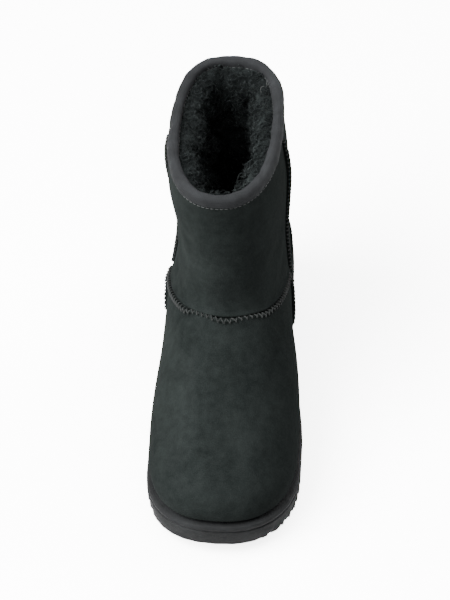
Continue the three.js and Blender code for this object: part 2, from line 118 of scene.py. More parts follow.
class Bench:
    """Steps on one piece at a time, with everything else deselected."""

    @staticmethod
    def take(piece: Object) -> None:
        """Makes a piece the only selected and active object."""
        bpy.ops.object.select_all(action="DESELECT")
        piece.select_set(True)
        bpy.context.view_layer.objects.active = piece

    @staticmethod
    @contextmanager
    def editing(piece: Object, picked: Optional[np.ndarray] = None, mode: str = "VERT") -> Iterator[None]:
        """Opens a piece in edit mode, with all or some of its points selected, and closes it again.

        Args:
            piece: The piece.
            picked: Which points are selected, or nothing for all.
            mode: What kind of part the steps work on.
        """
        Bench.take(piece)
        bpy.ops.object.mode_set(mode="EDIT")
        bpy.ops.mesh.select_mode(type="VERT")
        bpy.ops.mesh.select_all(action="SELECT" if picked is None else "DESELECT")
        if picked is not None:
            bpy.ops.object.mode_set(mode="OBJECT")
            piece.data.vertices.foreach_set("select", picked)
            bpy.ops.object.mode_set(mode="EDIT")
        bpy.ops.mesh.select_mode(type=mode)
        yield
        bpy.ops.object.mode_set(mode="OBJECT")

    @staticmethod
    def copy_node(node: str, name: str) -> Object:
        """Copies a CAD node, merges its loose triangles and turns them into quads.

        Args:
            node: Name of the CAD node.
            name: Name of the new piece.

        Returns:
            The new piece.
        """
        piece = add_object(name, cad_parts[node].data.copy())
        piece.data.name = name
        piece.data.materials.clear()
        with Bench.editing(piece):
            bpy.ops.mesh.customdata_custom_splitnormals_clear()
            bpy.ops.mesh.remove_doubles(threshold=2e-6)
            bpy.ops.mesh.tris_convert_to_quads(face_threshold=math.radians(70), shape_threshold=math.radians(100))
        return piece

    @staticmethod
    def primitive(operator: Callable, **settings: object) -> Object:
        """Adds one of Blender's basic shapes, with its place and turn applied to its mesh."""
        bpy.ops.object.select_all(action="DESELECT")
        operator(**settings)
        piece = bpy.context.view_layer.objects.active
        bpy.ops.object.transform_apply(location=True, rotation=True, scale=True)
        return piece

    @staticmethod
    def modify(piece: Object, kind: str, **settings: object) -> None:
        """Adds one modifier and applies it.

        Args:
            piece: The piece to change.
            kind: Blender's name of the modifier type.
            settings: Values of the modifier.
        """
        Bench.take(piece)
        modifier = piece.modifiers.new(kind.lower(), kind)
        for key, value in settings.items():
            setattr(modifier, key, value)
        bpy.ops.object.modifier_apply(modifier=modifier.name)

    @staticmethod
    def smooth(piece: Object, degrees: float = 60.0) -> None:
        """Smooth shading, with edges sharper than the angle kept."""
        Bench.take(piece)
        bpy.ops.object.shade_smooth_by_angle(angle=math.radians(degrees))

    @staticmethod
    def finish(piece: Object, slot: Slot, material: Material, *nodes: str) -> None:
        """Dresses a piece and hangs it on the body.

        Args:
            piece: The finished piece.
            slot: The record's slot that the finish belongs to; not used.
            material: Its material.
            nodes: CAD nodes that the piece stands for.
        """
        piece.data.materials.clear()
        piece.data.materials.append(material)
        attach(piece, BODY)
        if nodes:
            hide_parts(*nodes)
        faces = sum(len(p.vertices) - 2 for p in piece.data.polygons)
        LOG.info("%s: %d triangles", piece.name, faces)


class Skin:
    """A mesh's points and normals in millimetres, and the nearest places on it."""

    def __init__(self, piece: Object) -> None:
        """Reads the piece's mesh."""
        self.piece = piece
        self.read()

    def read(self) -> None:
        """Reads points, normals and faces again."""
        mesh = self.piece.data
        self.points = column(mesh.vertices, "co") / MM
        self.normals = column(mesh.vertex_normals, "vector")
        self.tree = BVHTree.FromPolygons(
            [Vector(p) for p in self.points], [tuple(f.vertices) for f in mesh.polygons])

    def write(self) -> None:
        """Writes the points back to the mesh."""
        self.piece.data.vertices.foreach_set("co", (self.points * MM).ravel())
        self.piece.data.update()
        self.read()

    def swell(self, rise: np.ndarray) -> None:
        """Moves each point along its normal, in millimetres, without writing it."""
        self.points += self.normals * rise[:, None]

    def nearest(self, point: Iterable[float]) -> tuple[np.ndarray, np.ndarray]:
        """Nearest place on the surface and its normal."""
        place, normal, _, _ = self.tree.find_nearest(Vector(point))
        return np.array(place), np.array(normal)

    def cast(self, start: Iterable[float], way: Iterable[float]) -> Optional[np.ndarray]:
        """First place that a ray meets, or nothing."""
        place = self.tree.ray_cast(Vector(start), Vector(way).normalized())[0]
        return None if place is None else np.array(place)

    def near_box(self, points: np.ndarray, margin: float) -> np.ndarray:
        """Which points of the skin lie in the box round some places, widened by a margin."""
        low, high = points.min(0) - margin, points.max(0) + margin
        return ((self.points > low) & (self.points < high)).all(1)


def spline(points: Iterable, step: float, closed: bool = False) -> np.ndarray:
    """Even stations along a smooth curve through points.

    Args:
        points: Points of the curve, one row each.
        step: Distance between stations in millimetres.
        closed: Whether the last point joins the first.

    Returns:
        The stations, one row each.
    """
    points = np.array(points, float)
    if closed:
        padded = np.vstack([points[-1:], points, points[:2]])
    else:
        padded = np.vstack([2 * points[0] - points[1], points, 2 * points[-1] - points[-2]])
    t = np.linspace(0, 1, 24, endpoint=False)[:, None]
    spans = [0.5 * (2 * b + (c - a) * t + (2 * a - 5 * b + 4 * c - d) * t ** 2 + (3 * b - 3 * c + d - a) * t ** 3)
             for a, b, c, d in zip(padded, padded[1:], padded[2:], padded[3:])]
    fine = np.vstack([*spans, points[:1] if closed else points[-1:]])
    length = np.concatenate([[0], np.cumsum(np.linalg.norm(np.diff(fine, axis=0), axis=1))])
    wanted = np.linspace(0, length[-1], max(int(round(length[-1] / step)), 2) + 1)
    if closed:
        wanted = wanted[:-1]
    return np.stack([np.interp(wanted, length, fine[:, k]) for k in range(3)], 1)


class Line:
    """A sewing line laid on a surface: stations with their direction, side and outward normal."""

    def __init__(self, points: Iterable, skin: Skin, step: float, closed: bool = False) -> None:
        """Lays the line on the surface.

        Args:
            points: Rough places of the line in millimetres.
            skin: The surface that it is sewn on.
            step: Distance between stations.
            closed: Whether it runs all the way round.
        """
        found = [skin.nearest(p) for p in spline(points, step, closed)]
        self.points = np.array([f[0] for f in found])
        wrap = "wrap" if closed else "edge"
        smoothed = np.pad([f[1] for f in found], ((2, 2), (0, 0)), mode=wrap)
        self.normals = sum(k * smoothed[i:i + len(found)] for i, k in enumerate((1, 2, 3, 2, 1)))
        self.normals /= np.linalg.norm(self.normals, axis=1, keepdims=True)
        ring = np.pad(self.points, ((1, 1), (0, 0)), mode=wrap)
        self.ahead = ring[2:] - ring[:-2]
        self.ahead -= (self.ahead * self.normals).sum(1, keepdims=True) * self.normals
        self.ahead /= np.linalg.norm(self.ahead, axis=1, keepdims=True)
        self.side = np.cross(self.normals, self.ahead)

    def shifted(self, across: float, up: float) -> np.ndarray:
        """Stations moved sideways and off the surface, in millimetres."""
        return self.points + across * self.side + up * self.normals

    def frames(self, across: float = 0.0, up: float = 0.0) -> np.ndarray:
        """Placing matrices for a shape whose X lies along the line and Z off the surface."""
        return np.stack([self.ahead, self.side, self.normals, self.shifted(across, up)], 2)

    def offset_of(self, skin: Skin) -> tuple[np.ndarray, np.ndarray]:
        """Where the points of a skin lie beside the line.

        Args:
            skin: The skin.

        Returns:
            Distance to the side that the line's side vector names, and plain distance, large where a
            point is far off.
        """
        across = np.full(len(skin.points), 1e3)
        plain = across.copy()
        near = np.where(skin.near_box(self.points, 30))[0]
        for part in np.array_split(near, len(near) // 4000 + 1):
            gap = skin.points[part][:, None] - self.points[None]
            reach = (gap ** 2).sum(2)
            best = reach.argmin(1)
            rows = np.arange(len(part))
            plain[part] = np.sqrt(reach[rows, best])
            across[part] = (gap[rows, best] * self.side[best]).sum(1)
        return across, plain


def stamp(name: str, master: Object, frames: np.ndarray) -> Object:
    """Turns a modelled shape into one mesh with a copy of it per placing matrix.

    Args:
        name: Name of the new piece.
        master: The shape, in metres round the origin. It is used up.
        frames: Matrices of three rows and four columns, places in millimetres.

    Returns:
        The new piece.
    """
    points = column(master.data.vertices, "co")
    placed = np.einsum("nij,kj->nki", frames[:, :, :3], points) + frames[:, None, :, 3] * MM
    faces = [tuple(f.vertices) for f in master.data.polygons]
    every = [tuple(v + k * len(points) for v in face) for k in range(len(frames)) for face in faces]
    made = bpy.data.meshes.new(name)
    made.from_pydata(placed.reshape(-1, 3).tolist(), [], every)
    made.update()
    bpy.data.objects.remove(master)
    piece = add_object(name, made)
    Bench.smooth(piece)
    return piece


def join(name: str, pieces: list[Object]) -> Object:
    """Joins pieces into one mesh of that name."""
    Bench.take(pieces[0])
    for piece in pieces[1:]:
        piece.select_set(True)
    bpy.ops.object.join()
    whole = bpy.context.view_layer.objects.active
    whole.name = whole.data.name = name
    return whole


def tube(name: str, points: np.ndarray, radius: float, fineness: int) -> Object:
    """A round cord through points.

    Args:
        name: Name of the piece.
        points: Points in millimetres.
        radius: Radius in millimetres.
        fineness: Of the round, as Blender's bevel resolution.

    Returns:
        The cord as a mesh.
    """
    curve = bpy.data.curves.new(name, "CURVE")
    curve.dimensions = "3D"
    curve.bevel_depth = radius * MM
    curve.bevel_resolution = fineness
    curve.use_fill_caps = True
    line = curve.splines.new("POLY")
    line.points.add(len(points) - 1)
    line.points.foreach_set("co", np.hstack([points * MM, np.ones((len(points), 1))]).ravel())
    Bench.take(add_object(name, curve))
    bpy.ops.object.convert(target="MESH")
    piece = bpy.context.view_layer.objects.active
    Bench.smooth(piece)
    return piece


# ---------------------------------------------------------------- finishes


class Tree:
    """Short way to build a node tree."""

    def __init__(self, tree: bpy.types.NodeTree) -> None:
        """Keeps the tree."""
        self.tree = tree

    def add(self, kind: str, inputs: Optional[dict] = None, **settings: object) -> bpy.types.Node:
        """Adds a node.

        Args:
            kind: Node type without its common prefix.
            inputs: Values or sockets by input name or number.
            settings: Plain settings of the node.

        Returns:
            The new node.
        """
        node = self.tree.nodes.new("ShaderNode" + kind)
        for key, value in settings.items():
            setattr(node, key, value)
        self.feed(node, inputs or {})
        return node

    def feed(self, node: bpy.types.Node, inputs: dict) -> None:
        """Links or sets inputs of a node by name or number."""
        for key, value in inputs.items():
            if isinstance(value, Socket):
                self.tree.links.new(value, node.inputs[key])
            else:
                node.inputs[key].default_value = value

    def noise(self, vector: Socket, scale: float, detail: float = 2.0, rough: float = 0.5,
              warp: float = 0.0) -> Socket:
        """Noise whose scale counts waves per metre."""
        return self.add("TexNoise", {"Vector": vector, "Scale": scale, "Detail": detail, "Roughness": rough,
                                     "Distortion": warp}).outputs[0]

    def math(self, operation: str, a: object, b: object = 0.0, c: object = 0.0) -> Socket:
        """One arithmetic step."""
        return self.add("Math", {0: a, 1: b, 2: c}, operation=operation).outputs[0]

    def times(self, a: object, b: object) -> Socket:
        """Product of two values."""
        return self.math("MULTIPLY", a, b)

    def blend(self, first: Socket, weight: float, second: Socket, other: float) -> Socket:
        """Weighted sum of two values."""
        return self.math("ADD", self.times(first, weight), self.times(second, other))

    def range(self, value: Socket, low: float, high: float, to_low: float = 0.0, to_high: float = 1.0) -> Socket:
        """Maps a range of a value to another, held at its ends."""
        return self.add("MapRange", {0: value, 1: low, 2: high, 3: to_low, 4: to_high}).outputs[0]

    def mix(self, share: object, a: object, b: object) -> Socket:
        """Mixes two colours."""
        return self.add("Mix", {0: share, 6: a, 7: b}, data_type="RGBA").outputs[2]


def rgb(red: float, green: float, blue: float) -> tuple[float, float, float, float]:
    """Linear colour from display values of 0 to 255."""
    return tuple([((v / 255 + 0.055) / 1.055) ** 2.4 if v > 10 else v / 3300 for v in (red, green, blue)] + [1.0])


def make_group(name: str, inputs: dict[str, float], outputs: Iterable[str],
               fill: Callable[[Tree, dict, dict], None]) -> bpy.types.NodeTree:
    """Builds a shared effect as a node group.

    Args:
        name: Name of the group.
        inputs: Number inputs with their defaults; every group also has a Vector input.
        outputs: Names of its number outputs.
        fill: Builds the inside from the tree, the input sockets and the output sockets.

    Returns:
        The group.
    """
    group = bpy.data.node_groups.new(name, "ShaderNodeTree")
    group.interface.new_socket("Vector", in_out="INPUT", socket_type="NodeSocketVector")
    for key, value in inputs.items():
        group.interface.new_socket(key, in_out="INPUT", socket_type="NodeSocketFloat").default_value = value
    for key in outputs:
        group.interface.new_socket(key, in_out="OUTPUT", socket_type="NodeSocketFloat")
    start = group.nodes.new("NodeGroupInput")
    end = group.nodes.new("NodeGroupOutput")
    wires: dict[str, Socket] = {}
    fill(Tree(group), {s.name: s for s in start.outputs}, wires)
    for key, socket in wires.items():
        group.links.new(socket, end.inputs[key])
    return group


def fill_nap(tree: Tree, into: dict, out: dict) -> None:
    """Brushed hide: soft patches, mottling and a fine grain."""
    vector = into["Vector"]
    stroke = tree.add("Mapping", {"Vector": vector, "Rotation": (0.3, 0.2, 0.5), "Scale": (1.0, 0.55, 0.8)})
    mottle = tree.noise(vector, 190, 4, 0.6)
    grain = tree.noise(vector, 1500, 3, 0.7)
    total = 0.5
    for layer, share in ((tree.noise(stroke.outputs[0], 34, 3, 0.55, 0.6), "Patches"),
                         (mottle, "Mottle"), (grain, "Grain")):
        total = tree.math("MULTIPLY_ADD", tree.math("SUBTRACT", layer, 0.5), into[share], total)
    out["Tone"] = tree.add("Clamp", {0: total}).outputs[0]
    out["Height"] = tree.blend(grain, 0.6, mottle, 0.8)


def fill_fibre(tree: Tree, into: dict, out: dict) -> None:
    """Fine broken strands with a few lint specks."""
    vector = into["Vector"]
    strands = tree.noise(vector, 2600, 3, 0.75, 0.8)
    clumps = tree.noise(vector, 420, 2, 0.5)
    specks = tree.range(tree.noise(vector, 900, 1, 0.3), 0.69, 0.74)
    out["Tone"] = tree.add("Clamp", {0: tree.blend(strands, 0.55, clumps, 0.45)}).outputs[0]
    out["Height"] = strands
    out["Lint"] = tree.times(specks, into["Lint"])


def fill_weave(tree: Tree, into: dict, out: dict) -> None:
    """Ribs across a tape, whose Vector holds the way along and across it in millimetres."""
    along, across, _ = tree.add("SeparateXYZ", {0: into["Vector"]}).outputs
    slant = tree.math("MULTIPLY_ADD", across, 0.35, along)
    ribs = tree.math("SINE", tree.times(tree.times(slant, into["Ribs"]), FULL_TURN))
    picks = tree.math("SINE", tree.times(tree.times(across, into["Picks"]), FULL_TURN))
    woven = tree.math("MULTIPLY_ADD", tree.times(ribs, picks), 0.25, tree.times(ribs, 0.35))
    out["Height"] = tree.math("ADD", woven, 0.5)


def fill_moulded(tree: Tree, into: dict, out: dict) -> None:
    """Moulded foam: pebbled skin, pores, dust that settles and rubbed places."""
    vector = into["Vector"]
    pebble = tree.add("TexVoronoi", {"Vector": vector, "Scale": 1150, "Randomness": 1.0}, feature="F1").outputs[0]
    pores = tree.range(tree.noise(vector, 3200, 1, 0.4), 0.3, 0.42, 1, 0)
    stretched = tree.add("Mapping", {"Vector": vector, "Scale": (1, 1, 3.2)}).outputs[0]
    out["Height"] = tree.blend(pebble, 0.6, pores, -0.5)
    out["Scuff"] = tree.times(tree.range(tree.noise(stretched, 95, 5, 0.65, 0.4), 0.5, 0.72), into["Scuffs"])
    out["Dust"] = tree.times(tree.range(tree.noise(vector, 620, 5, 0.75), 0.52, 0.7), into["Dust"])


class Workshop:
    """Shared effects, built once."""

    def __init__(self) -> None:
        """Builds the groups."""
        self.nap = make_group(
            "brushed_nap", {"Patches": 1.0, "Mottle": 0.5, "Grain": 0.4}, ("Tone", "Height"), fill_nap)
        self.fibre = make_group("loose_fibres", {"Lint": 0.3}, ("Tone", "Height", "Lint"), fill_fibre)
        self.weave = make_group("ribbed_weave", {"Ribs": 1.1, "Picks": 1.6}, ("Height",), fill_weave)
        self.moulded = make_group(
            "moulded_foam", {"Scuffs": 0.4, "Dust": 0.3}, ("Height", "Scuff", "Dust"), fill_moulded)


class Paint:
    """One material in the making: the place on the piece, one shared effect and a shader."""

    def __init__(self, name: str, group: bpy.types.NodeTree, run: str = "", **values: float) -> None:
        """Starts the material.

        Args:
            name: Name of the material.
            group: The shared effect.
            run: Attribute that the effect reads in place of object coordinates.
            values: The effect's own values.
        """
        self.material = bpy.data.materials.new(name)
        self.material.use_nodes = True
        self.tree = Tree(self.material.node_tree)
        self.place = self.tree.add("TexCoord").outputs["Object"]
        way = self.tree.add("Attribute", attribute_name=run).outputs["Vector"] if run else self.place
        self.effect = self.tree.add("Group", {"Vector": way, **values}, node_tree=group).outputs

    def tint(self, share: Socket, under: object, over: Colour) -> Socket:
        """Mixes a display colour into another one or into what lies under it."""
        return self.tree.mix(share, under if isinstance(under, Socket) else rgb(*under), rgb(*over))

    def close(self, colour: Socket, rough: Socket, height: Socket, relief: float, **values: object) -> Material:
        """Links the shader.

        Args:
            colour: Base colour.
            rough: Roughness.
            height: Height of the fine relief.
            relief: Its depth in metres.
            values: Constants of the shader by input name, with underscores for spaces.

        Returns:
            The material.
        """
        bump = self.tree.add("Bump", {"Height": height, "Distance": relief, "Strength": 1.0}).outputs[0]
        self.tree.feed(self.material.node_tree.nodes["Principled BSDF"], {
            "Base Color": colour, "Roughness": rough, "Normal": bump,
            **{key.replace("_", " "): value for key, value in values.items()}})
        return self.material


@dataclass(frozen=True)
class SuedeFinish:
    """Brushed sheepskin, darker and lighter in patches of nap, with painted shade that darkens its inner side."""

    name: str = "charcoal_suede"
    deep: Colour = (5.5, 7.1, 6.8)
    worn: Colour = (20, 22.6, 21.9)
    # painted shade: the colour mixed onto the inner side for the shadow that falls there
    painted_shade: Colour = (3, 3.8, 3.6)
    fleck: Colour = (34, 37, 36)
    inner_painted_shade: float = 0.45  # share of painted shade on the inner side, standing in for the shadow that falls there
    relief: float = 0.00022

    def build(self, shop: Workshop) -> Material:
        """Builds the material."""
        paint = Paint(self.name, shop.nap, Patches=1.1, Mottle=0.8, Grain=0.75)
        tree, tone = paint.tree, paint.effect["Tone"]
        across = tree.add("SeparateXYZ", {0: paint.place}).outputs[0]
        colour = paint.tint(tone, self.deep, self.worn)
        # painted shade: the inner side, towards +X, is darkened for the shadow that falls on it
        colour = paint.tint(tree.range(across, -0.012, 0.036, 0, self.inner_painted_shade), colour, self.painted_shade)
        colour = paint.tint(tree.range(tree.noise(paint.place, 2400, 2, 0.8), 0.6, 0.8, 0, 0.35), colour, self.fleck)
        return paint.close(colour, tree.range(tone, 0, 1, 0.98, 0.86), paint.effect["Height"], self.relief,
                           Sheen_Weight=0.012, Sheen_Roughness=0.5, Sheen_Tint=(0.6, 0.66, 0.64, 1),
                           Specular_IOR_Level=0.0)


@dataclass(frozen=True)
class TapeFinish:
    """Ribbed cotton tape round the collar."""

    name: str = "collar_tape"
    deep: Colour = (12.5, 13, 13.6)
    worn: Colour = (23.5, 24.3, 25.3)
    relief: float = 0.00012

    def build(self, shop: Workshop) -> Material:
        """Builds the material."""
        paint = Paint(self.name, shop.weave, run="tape_run", Ribs=1.25, Picks=1.9)
        tree, ribs = paint.tree, paint.effect["Height"]
        fade = tree.range(tree.noise(paint.place, 60, 4, 0.6), 0.3, 0.7)
        colour = paint.tint(tree.blend(fade, 0.7, ribs, 0.3), self.deep, self.worn)
        return paint.close(colour, tree.range(fade, 0, 1, 0.92, 0.8), ribs, self.relief, Sheen_Weight=0.01,
                           Sheen_Roughness=0.5, Sheen_Tint=(0.6, 0.62, 0.66, 1), Specular_IOR_Level=0.03)


@dataclass(frozen=True)
class ThreadFinish:
    """Bonded sewing thread."""

    name: str = "overlock_thread"
    deep: Colour = (9, 9.6, 9.6)
    worn: Colour = (28, 29.5, 29)
    lint: Colour = (50, 52, 51)
    relief: float = 0.00012

    def build(self, shop: Workshop) -> Material:
        """Builds the material."""
        paint = Paint(self.name, shop.fibre, Lint=0.25)
        tone = paint.effect["Tone"]
        colour = paint.tint(paint.effect["Lint"], paint.tint(tone, self.deep, self.worn), self.lint)
        return paint.close(colour, paint.tree.range(tone, 0, 1, 0.75, 0.55), paint.effect["Height"], self.relief,
                           Sheen_Weight=0.01, Sheen_Roughness=0.4, Specular_IOR_Level=0.08)


@dataclass(frozen=True)
class FleeceFinish:
    """Curly shorn wool, darker and lighter in tufts."""

    name: str = "curly_fleece"
    deep: Colour = (2.4, 3.2, 3.3)
    worn: Colour = (8, 10.3, 10.5)
    lint: Colour = (30, 35, 35)
    relief: float = 0.0007

    def build(self, shop: Workshop) -> Material:
        """Builds the material."""
        paint = Paint(self.name, shop.fibre, Lint=0.12)
        tree, tone = paint.tree, paint.effect["Tone"]
        tufts = tree.range(tree.noise(paint.place, 150, 3, 0.6, 0.5), 0.32, 0.68)
        colour = paint.tint(tree.blend(tufts, 0.65, tone, 0.35), self.deep, self.worn)
        colour = paint.tint(paint.effect["Lint"], colour, self.lint)
        wool = tree.math("MULTIPLY_ADD", tree.noise(paint.place, 330, 4, 0.65, 1.2), 2.2, paint.effect["Height"])
        return paint.close(colour, tree.range(tone, 0, 1, 0.95, 0.8), wool, self.relief, Sheen_Weight=0.03,
                           Sheen_Roughness=0.4, Sheen_Tint=(0.6, 0.72, 0.7, 1), Specular_IOR_Level=0.04)


@dataclass(frozen=True)
class FoamFinish:
    """Moulded light foam with dust on its tread and rubbed edges."""

    name: str = "sole_foam"
    deep: Colour = (10, 10.6, 10.8)
    worn: Colour = (17.5, 18.4, 18.8)
    rubbed: Colour = (19, 20, 21)
    dust: Colour = (26, 27, 26)
    relief: float = 0.00015

    def build(self, shop: Workshop) -> Material:
        """Builds the material."""
        paint = Paint(self.name, shop.moulded, Scuffs=0.5, Dust=0.5)
        tree, scuff = paint.tree, paint.effect["Scuff"]
        low = tree.range(tree.add("SeparateXYZ", {0: paint.place}).outputs[2], 0.001, 0.012, 1, 0)
        colour = paint.tint(tree.range(tree.noise(paint.place, 70, 4, 0.6), 0.3, 0.7), self.deep, self.worn)
        colour = paint.tint(scuff, colour, self.rubbed)
        colour = paint.tint(tree.times(paint.effect["Dust"], low), colour, self.dust)
        return paint.close(colour, tree.range(scuff, 0, 0.5, 0.62, 0.85), paint.effect["Height"], self.relief,
                           Specular_IOR_Level=0.05)


# ---------------------------------------------------------------- the boot


@dataclass(frozen=True)
class Fold:
    """Soft trough or ridge laid on the hide: path in millimetres, height (negative for a trough), width."""

    path: Points
    height: float
    width: float


@dataclass
class Upper:
    """Suede upper: vamp, shaft and the parting line between them."""

    fineness: int = 2
    seam_reach: float = 6.0
    parting: float = 1.25  # from the sewing line up to the shaft's cut edge
    parting_depth: float = 1.9
    parting_width: float = 0.62
    edge_width: float = 1.5
    edge_lift: float = 0.8
    tuck_height: float = 3.2
    tuck_depth: float = 2.3
    ankle: float = 100.0  # above this height the middle of the hide is the shaft's
    folds: tuple[Fold, ...] = (
        # outer side of the shaft: soft slanting folds towards the ankle
        Fold([(-39.5, 42, 150), (-38.5, 28, 138), (-36.5, 14, 128), (-28.5, 2, 122)], -0.9, 7.0),
        Fold([(-37.5, 42, 128), (-36.5, 30, 121), (-33.5, 16, 114), (-26.5, 4, 110)], 0.5, 6.0),
        Fold([(-36.5, 42, 112), (-35.5, 28, 106), (-33.5, 14, 101), (-27.5, 2, 99)], -0.9, 5.5),
        Fold([(-36.5, 10, 170), (-34.5, 4, 155), (-32.5, 1, 138), (-31.5, -1, 122)], 0.7, 4.5),
        Fold([(-30.5, -2, 172), (-28.5, -5, 156), (-27.5, -7, 140), (-26.5, -9, 124)], -0.5, 4.5),
        # inner side
        Fold([(31.5, 44, 140), (30.5, 30, 130), (28.5, 14, 120), (21.5, 2, 114)], -0.8, 6.5),
        Fold([(31.5, 44, 122), (30.5, 30, 112), (28.5, 16, 106), (22.5, 4, 102)], 0.9, 5.5),
        Fold([(32.5, 42, 104), (31.5, 28, 98), (29.5, 14, 95)], -0.7, 5.0),
        # over the instep, just above the vamp's seam
        Fold([(-26.5, -4, 112), (-10.5, -15, 110), (5.5, -15, 110), (19.5, -5, 112)], -0.7, 5.5),
        Fold([(-29.5, 2, 128), (-12.5, -9, 124), (5.5, -9, 126), (19.5, 0, 130)], 0.6, 8.0),
        # behind the ankle, where the shaft settles on the heel
        Fold([(-32.5, 76, 112), (-22.5, 100, 106), (-2.5, 112, 104), (17.5, 101, 107), (27.5, 78, 113)], -1.8, 6.0),
        Fold([(-34.5, 72, 98), (-24.5, 100, 92), (-2.5, 114, 90), (19.5, 101, 93), (29.5, 74, 99)], 1.2, 6.0),
        Fold([(-33.5, 74, 130), (-20.5, 101, 125), (-2.5, 111, 122), (15.5, 102, 124)], 1.0, 8.0),
        Fold([(-36.5, 62, 120), (-35.5, 70, 100), (-36, 74, 84)], -1.0, 6.0),
        Fold([(30.5, 62, 120), (30.5, 72, 100), (32, 76, 84)], -0.9, 6.0),
        Fold([(-31.5, 84, 160), (-16.5, 105, 152), (1.5, 111, 150)], -0.7, 9.0),
        # vamp: faint hollows beside the instep and a settled toe
        Fold([(-22, -40, 78), (-32, -20, 74), (-38, 6, 66)], -0.8, 8.0),
        Fold([(24, -38, 78), (32, -18, 74), (33, 8, 66)], -0.9, 8.0),
        Fold([(-24, -66, 62), (0, -62, 72), (24, -64, 62)], -0.45, 7.0),
        Fold([(-20, -98, 52), (0, -100, 54), (20, -96, 52)], -0.4, 8.0),
        Fold([(2, -84, 63), (-2, -56, 75), (0, -34, 88)], 0.45, 9.0),
    )

    def crease(self, skin: Skin) -> None:
        """Presses the folds into the outside of the hide, fading out at the feather line and the tape."""
        outside = self.outer_mask(skin)
        move = np.zeros(len(skin.points))
        for fold in self.folds:
            path = np.array([skin.nearest(p)[0] for p in spline(fold.path, 2.0)])
            share = np.sin(np.linspace(0, math.pi, len(path))) ** 0.6
            near = np.where(outside & skin.near_box(path, 3 * fold.width))[0]
            gap = ((skin.points[near][:, None] - path[None]) ** 2).sum(2)
            best = gap.argmin(1)
            move[near] += fold.height * share[best] * np.exp(-gap[np.arange(len(near)), best] / fold.width ** 2)
        z = skin.points[:, 2]
        skin.swell(move * ramp(z, 27, 39) * ramp(z, 181, 173))
        skin.write()

    @classmethod
    def outer_mask(cls, skin: Skin) -> np.ndarray:
        """Which points are on the outside of the hide, seen from a middle inside the foot or the shaft."""
        y, z = skin.points[:, 1], skin.points[:, 2]
        middle = np.where(z < cls.ankle, np.clip(y * 0.8, -80, 90), np.interp(z, (cls.ankle, 190), (50, 52)))
        centre = np.stack([np.zeros(len(z)), middle, np.minimum(z, cls.ankle)], 1)
        return (skin.normals * (skin.points - centre)).sum(1) > 0

    def tuck(self, skin: Skin) -> None:
        """Draws the foot of the hide in over the sole's lip, where the dark feather line runs."""
        lip = Skin(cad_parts["sole"])
        flat, above, reach = np.array([1, 1, 0]), np.array([0, 0, 60.0]), 0.8
        for k in np.where(self.outer_mask(skin) & (skin.points[:, 2] < 40))[0]:
            point, out = skin.points[k], skin.normals[k] * flat
            out /= max(float(np.linalg.norm(out)), 1e-6)
            hit = lip.cast((point + out * reach) * flat + above, -above)
            if hit is not None:
                rise = max(float(point[2] - hit[2]), 0.0) / self.tuck_height
                skin.points[k] = point - out * self.tuck_depth * max(1 - rise, 0.0) ** 0.7
        skin.write()

    def part(self, skin: Skin, line: Line) -> None:
        """Opens the dark parting above the vamp's seam and lifts the shaft's cut edge over it."""
        across, plain = line.offset_of(skin)
        up = across * self.shaft_side(line)
        trough = -self.parting_depth * bell(up, self.parting, self.parting_width)
        edge = self.edge_lift * bell(up, self.parting + self.edge_width, self.edge_width)
        near = (plain < 14) & self.outer_mask(skin)
        skin.swell(np.where(near, trough + edge, 0) * ramp(skin.points[:, 2], 30, 36))
        skin.write()

    @staticmethod
    def shaft_side(line: Line) -> int:
        """1 where the line's side vector points up the shaft at the instep, otherwise -1."""
        return 1 if line.side[len(line.side) // 2][2] > 0 else -1

    def build(self, suede: Material) -> Skin:
        """Builds the upper and returns its surface."""
        piece = Bench.copy_node("upper", "suede_upper")
        Bench.modify(piece, "SUBSURF", levels=self.fineness, render_levels=self.fineness)
        skin = Skin(piece)
        self.crease(skin)
        self.tuck(skin)
        line = Line(VAMP_LINE, skin, 1.0)
        with Bench.editing(piece, line.offset_of(skin)[1] < self.seam_reach, "FACE"):
            bpy.ops.mesh.subdivide(number_cuts=2, smoothness=0.0)
        skin = Skin(piece)
        self.part(skin, line)
        Bench.smooth(piece, 80)
        Bench.finish(piece, Slot.SUEDE, suede, "upper")
        return skin


@dataclass(frozen=True)
class LoopRun:
    """One of the two runs of loops that make an overlocked seam, in millimetres."""

    lean: float  # how far one foot of a loop stands ahead of the other
    width: float
    height: float
    thread: float
    lift: float = 0.0  # above the hide

    def loop(self) -> Object:
        """Models one loop: a ring of thread spun over the seam and leant along it.

        Returns:
            The loop round the origin, X along the seam.
        """
        loop = Bench.primitive(bpy.ops.mesh.primitive_circle_add, vertices=6, radius=self.thread * MM, location=(0, -MM, 0))
        with Bench.editing(loop):
            bpy.ops.mesh.spin(steps=9, angle=math.pi, center=(0, 0, 0), axis=(1, 0, 0))
            bpy.ops.mesh.select_all(action="SELECT")
            bpy.ops.mesh.normals_make_consistent(inside=False)
        skin = Skin(loop)
        angle = np.arctan2(skin.points[:, 2], -skin.points[:, 1])
        radius = np.hypot(skin.points[:, 1], skin.points[:, 2]) - 1.0
        skin.points[:, 1] = -np.cos(angle) * (self.width / 2 + radius)
        skin.points[:, 2] = np.sin(angle) * (self.height + radius)
        skin.points[:, 0] += self.lean * np.cos(angle) * 0.5
        skin.write()
        return loop


